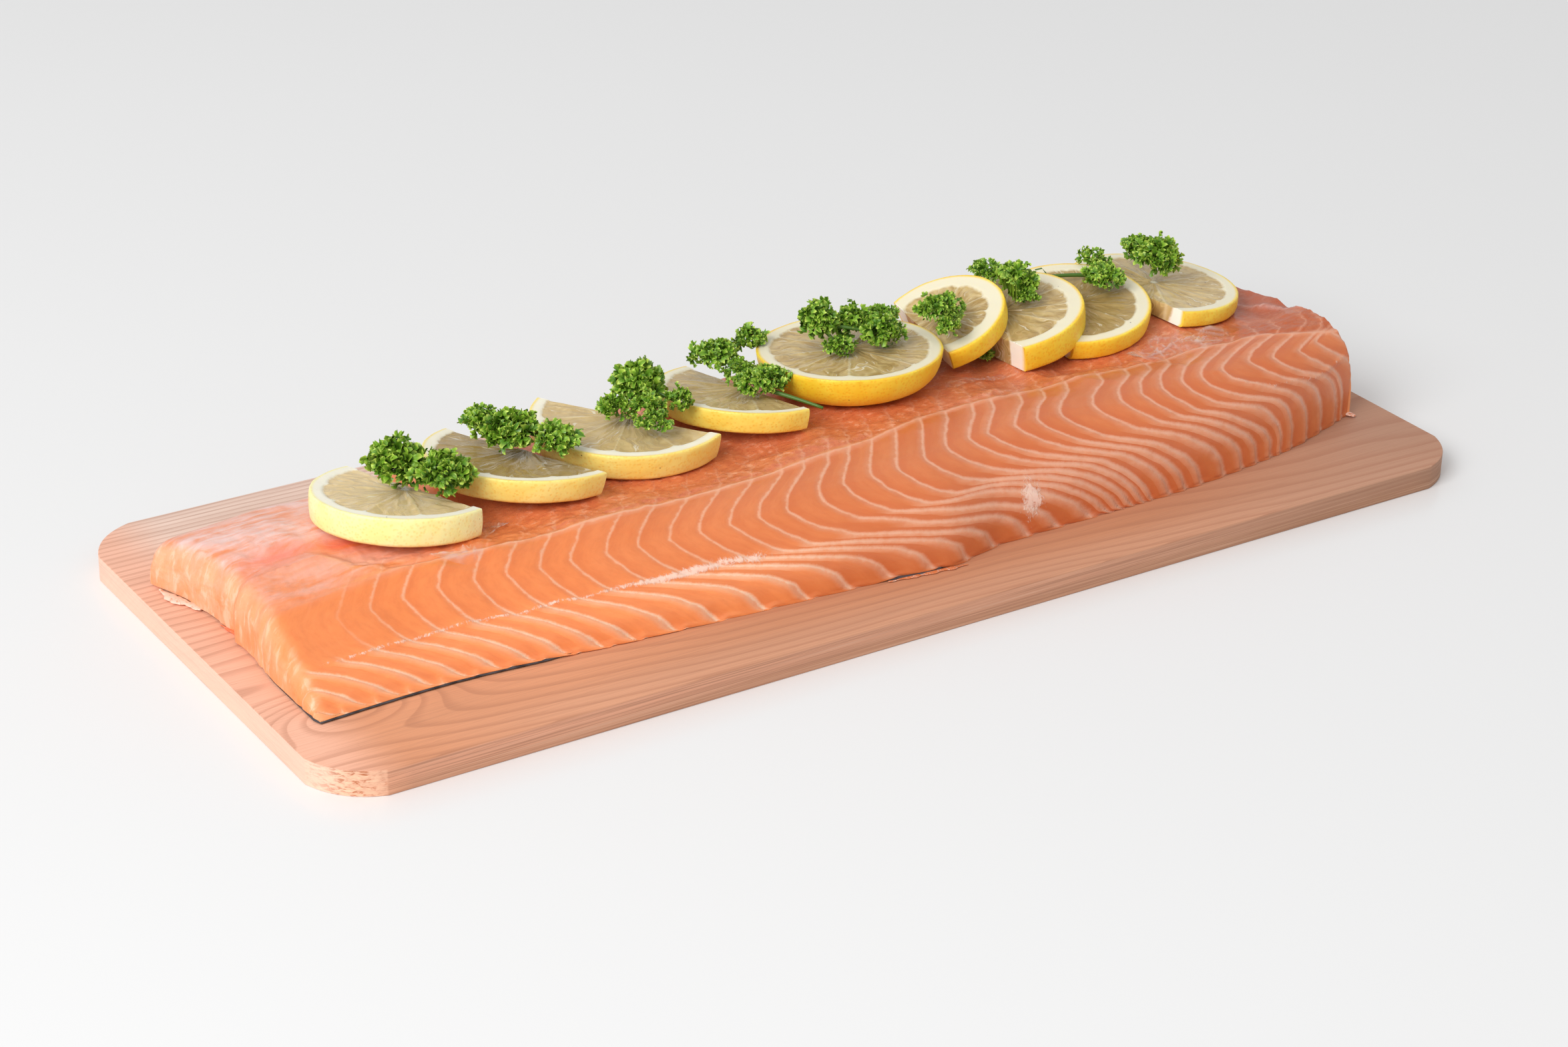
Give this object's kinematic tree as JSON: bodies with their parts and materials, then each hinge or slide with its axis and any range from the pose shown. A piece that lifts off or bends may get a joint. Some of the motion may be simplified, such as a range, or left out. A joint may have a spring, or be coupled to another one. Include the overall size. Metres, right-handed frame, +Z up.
{
  "type": "cedar plank salmon",
  "caption": "Side of raw salmon on a cedar grilling plank, its skin side down, topped along its back with lemon slices on clear film and sprigs of curly parsley.",
  "frame": {"origin": "centre of the plank's underside", "axes": "+X along the plank toward the fillet's thick cut end, +Y toward the back of the fish, so -Y is the banded near side, +Z up"},
  "size_m": [0.41, 0.174, 0.0619],
  "materials": {
    "cedar": "dry sawn cedar with fine lengthwise grain",
    "salmon_skin": "wet dark grey fish skin",
    "salmon_flesh": "moist raw flesh with pale fat lines between its bands",
    "clear_film": "thin clear crumpled kitchen film",
    "lemon": "waxy dimpled peel, matt white pith and wet translucent pulp",
    "parsley": "fresh curly leaves with paler tips"
  },
  "bodies": {
    "root": {"cedar_plank": "cedar", "salmon_skin": "salmon_skin", "salmon_flesh": "salmon_flesh", "clear_film": "clear_film", "lemon_slice_1": "lemon", "lemon_slice_2": "lemon", "lemon_slice_3": "lemon", "lemon_slice_4": "lemon", "lemon_slice_5": "lemon", "lemon_slice_6": "lemon", "lemon_slice_7": "lemon", "lemon_slice_8": "lemon", "lemon_slice_9": "lemon", "parsley_1": "parsley", "parsley_2": "parsley", "parsley_3": "parsley", "parsley_4": "parsley", "parsley_5": "parsley", "parsley_6": "parsley", "parsley_7": "parsley", "parsley_8": "parsley", "parsley_9": "parsley"}
  },
  "joints": []
}
